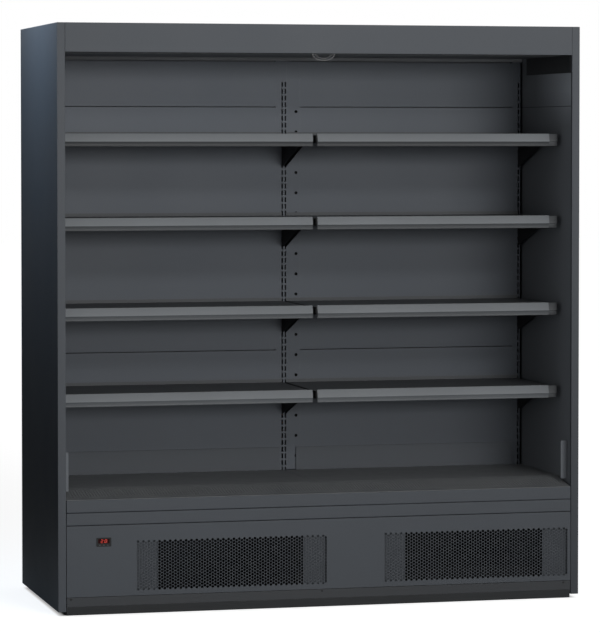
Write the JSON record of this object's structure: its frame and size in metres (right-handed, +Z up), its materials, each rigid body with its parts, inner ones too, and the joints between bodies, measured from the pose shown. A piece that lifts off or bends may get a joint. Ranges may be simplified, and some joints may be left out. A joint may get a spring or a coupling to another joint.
{
  "type": "open multideck display fridge",
  "caption": "Upright open-front refrigerated display cabinet with two bays of hook-on shelves, a night blind in the canopy and a grilled machine compartment below.",
  "frame": {"origin": "on the floor, under the centre of the overall bounding box", "axes": "+X to the right seen from the front, +Y towards the back wall, +Z up; the open front faces -Y"},
  "size_m": [1.9, 0.7724, 2.058],
  "materials": {
    "anthracite_powder_coat": "satin anthracite powder coat with a fine orange-peel",
    "shelf_powder_coat": "satin anthracite powder coat, darker on the flat faces",
    "deck_powder_coat": "satin anthracite powder coat, dark",
    "dark_bracket": "black powder coat",
    "rail_profile": "satin grey extruded ticket rail",
    "rail_cap": "moulded grey end cap",
    "galvanised_sheet": "zinc-coated sheet",
    "black_moulding": "black moulded plastic",
    "grey_moulding": "grey moulded plastic",
    "handle_moulding": "grey moulded bail handle",
    "blind_bar_profile": "dark anodised extrusion",
    "blind_fabric": "woven night-blind cloth",
    "rigid_foam": "rigid insulation foam",
    "black_enamel": "gloss black enamel",
    "aluminium_fins": "aluminium fin pack",
    "copper_pipe": "bare copper tube",
    "zinc_screw": "zinc-plated steel",
    "display_window": "smoked red display window",
    "key_rubber": "soft moulded keys"
  },
  "bodies": {
    "cabinet": {"air_outlet_grid": "black_moulding", "back_panels": "anthracite_powder_coat", "back_risers": "anthracite_powder_coat", "base_tray": "galvanised_sheet", "blind_brackets": "dark_bracket", "blind_web": "blind_fabric", "bumper_lower": "anthracite_powder_coat", "bumper_upper": "anthracite_powder_coat", "cable_strip": "anthracite_powder_coat", "canopy_fascia": "anthracite_powder_coat", "canopy_side_plates": "dark_bracket", "canopy_underside": "anthracite_powder_coat", "compressor": "black_enamel", "condensate_tray": "black_moulding", "condenser_coil": "aluminium_fins", "controller_display": "display_window", "controller_housing": "black_moulding", "deck_pans": "deck_powder_coat", "electrical_box": "grey_moulding", "end_panel_left": "anthracite_powder_coat", "end_panel_right": "anthracite_powder_coat", "evaporator_coil": "aluminium_fins", "evaporator_fan_plate": "galvanised_sheet", "fan_motors": "black_enamel", "fan_shroud": "galvanised_sheet", "foam_insulation": "rigid_foam", "inner_liners": "anthracite_powder_coat", "kick_plate": "anthracite_powder_coat", "kick_screws": "zinc_screw", "kick_skirt": "black_moulding", "levelling_feet": "zinc_screw", "panel_baffle": "galvanised_sheet", "price_rails": "rail_profile", "rail_end_caps": "rail_cap", "rear_panel": "galvanised_sheet", "refrigerant_pipes": "copper_pipe", "return_air_grille": "deck_powder_coat", "roof_panel": "anthracite_powder_coat", "service_panel": "anthracite_powder_coat", "shelf_brackets": "dark_bracket", "shelves_row_1": "shelf_powder_coat", "shelves_row_2": "shelf_powder_coat", "shelves_row_3": "shelf_powder_coat", "shelves_row_4": "shelf_powder_coat", "side_uprights": "anthracite_powder_coat", "side_upstands": "anthracite_powder_coat", "tank_shell": "galvanised_sheet", "upright_middle": "anthracite_powder_coat"},
    "blind_puller": {"blind_bar": "blind_bar_profile", "blind_handle": "handle_moulding"},
    "blind_roller": {"blind_tube": "galvanised_sheet", "blind_roll": "blind_fabric"},
    "condenser_rotor": {"condenser_fan": "black_moulding"},
    "cold_rotor_left": {"evaporator_fan_left": "black_moulding"},
    "cold_rotor_right": {"evaporator_fan_right": "black_moulding"},
    "down_key": {"key_down": "key_rubber"},
    "set_key": {"key_set": "key_rubber"},
    "up_key": {"key_up": "key_rubber"}
  },
  "joints": [
    {"name": "blind_pull", "type": "slide", "parent": "cabinet", "child": "blind_puller", "axis": [0, 0, -1], "range_m": [0, 1.5], "stiffness_N_per_m": 10, "springref_m": -3, "deforming": ["blind_web"]},
    {"name": "blind_roll_turn", "type": "hinge", "parent": "cabinet", "child": "blind_roller", "pos_m": [0, -0.3358, 1.9885], "axis": [1, 0, 0], "range_deg": [0, 3450]},
    {"name": "condenser_fan_spin", "type": "hinge", "parent": "cabinet", "child": "condenser_rotor", "pos_m": [-0.3325, -0.2418, 0.165], "axis": [0, 1, 0], "continuous": true},
    {"name": "evaporator_fan_left_spin", "type": "hinge", "parent": "cabinet", "child": "cold_rotor_left", "pos_m": [-0.43, -0.0538, 0.374], "axis": [0, -0.4067, 0.9135], "continuous": true},
    {"name": "evaporator_fan_right_spin", "type": "hinge", "parent": "cabinet", "child": "cold_rotor_right", "pos_m": [0.43, -0.0538, 0.374], "axis": [0, -0.4067, 0.9135], "continuous": true},
    {"name": "down_key_press", "type": "slide", "parent": "cabinet", "child": "down_key", "axis": [0, 1, 0], "range_m": [0, 0.0008], "stiffness_N_per_m": 500, "springref_m": -0.0012},
    {"name": "set_key_press", "type": "slide", "parent": "cabinet", "child": "set_key", "axis": [0, 1, 0], "range_m": [0, 0.0008], "stiffness_N_per_m": 500, "springref_m": -0.0012},
    {"name": "up_key_press", "type": "slide", "parent": "cabinet", "child": "up_key", "axis": [0, 1, 0], "range_m": [0, 0.0008], "stiffness_N_per_m": 500, "springref_m": -0.0012}
  ],
  "couplings": [
    {"joint": "blind_roll_turn", "follows": "blind_pull", "rad_per_m": 39.139}
  ]
}
